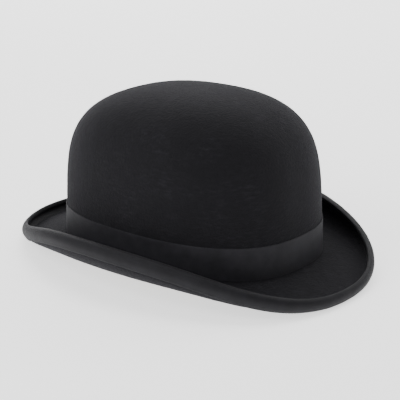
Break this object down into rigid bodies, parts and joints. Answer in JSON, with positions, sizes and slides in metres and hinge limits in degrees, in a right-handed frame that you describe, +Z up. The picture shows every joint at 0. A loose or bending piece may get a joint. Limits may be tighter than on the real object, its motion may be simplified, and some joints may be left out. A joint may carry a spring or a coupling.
{
  "type": "bowler hat",
  "caption": "Stiff felt bowler hat: rounded crown, curled and bound brim, ribbon band with a side bow, leather sweatband and satin lining.",
  "frame": {"origin": "on the surface that the hat stands on, under the middle of its length and width", "axes": "+Y runs from the front of the hat to its back, +Z is up towards the crown, and +X is the wearer's left, where the bow is"},
  "size_m": [0.2398, 0.2992, 0.1385],
  "materials": {
    "felt": "matte brushed fur felt with a short nap",
    "grosgrain": "ribbed ribbon with a soft sheen",
    "thread": "twisted sewing thread",
    "leather": "smooth semi-gloss",
    "reed": "matte",
    "tape": "closely woven matte tape",
    "satin": "lustrous satin",
    "clear_film": "clear and glossy",
    "ticket_paper": "matte"
  },
  "bodies": {
    "root": {"felt_body": "felt", "hat_band": "grosgrain", "bow_base": "grosgrain", "bow_loops": "grosgrain", "bow_knot": "grosgrain", "brim_binding": "grosgrain", "binding_thread": "thread", "sweatband": "leather", "sweatband_reed": "reed", "reed_tape": "tape", "sweatband_thread": "thread", "inner_bow_loops": "tape", "inner_bow_knot": "tape", "lining_side": "satin", "lining_tip": "satin", "lining_piping": "satin", "tip_protector": "clear_film", "size_ticket": "ticket_paper"}
  },
  "joints": []
}
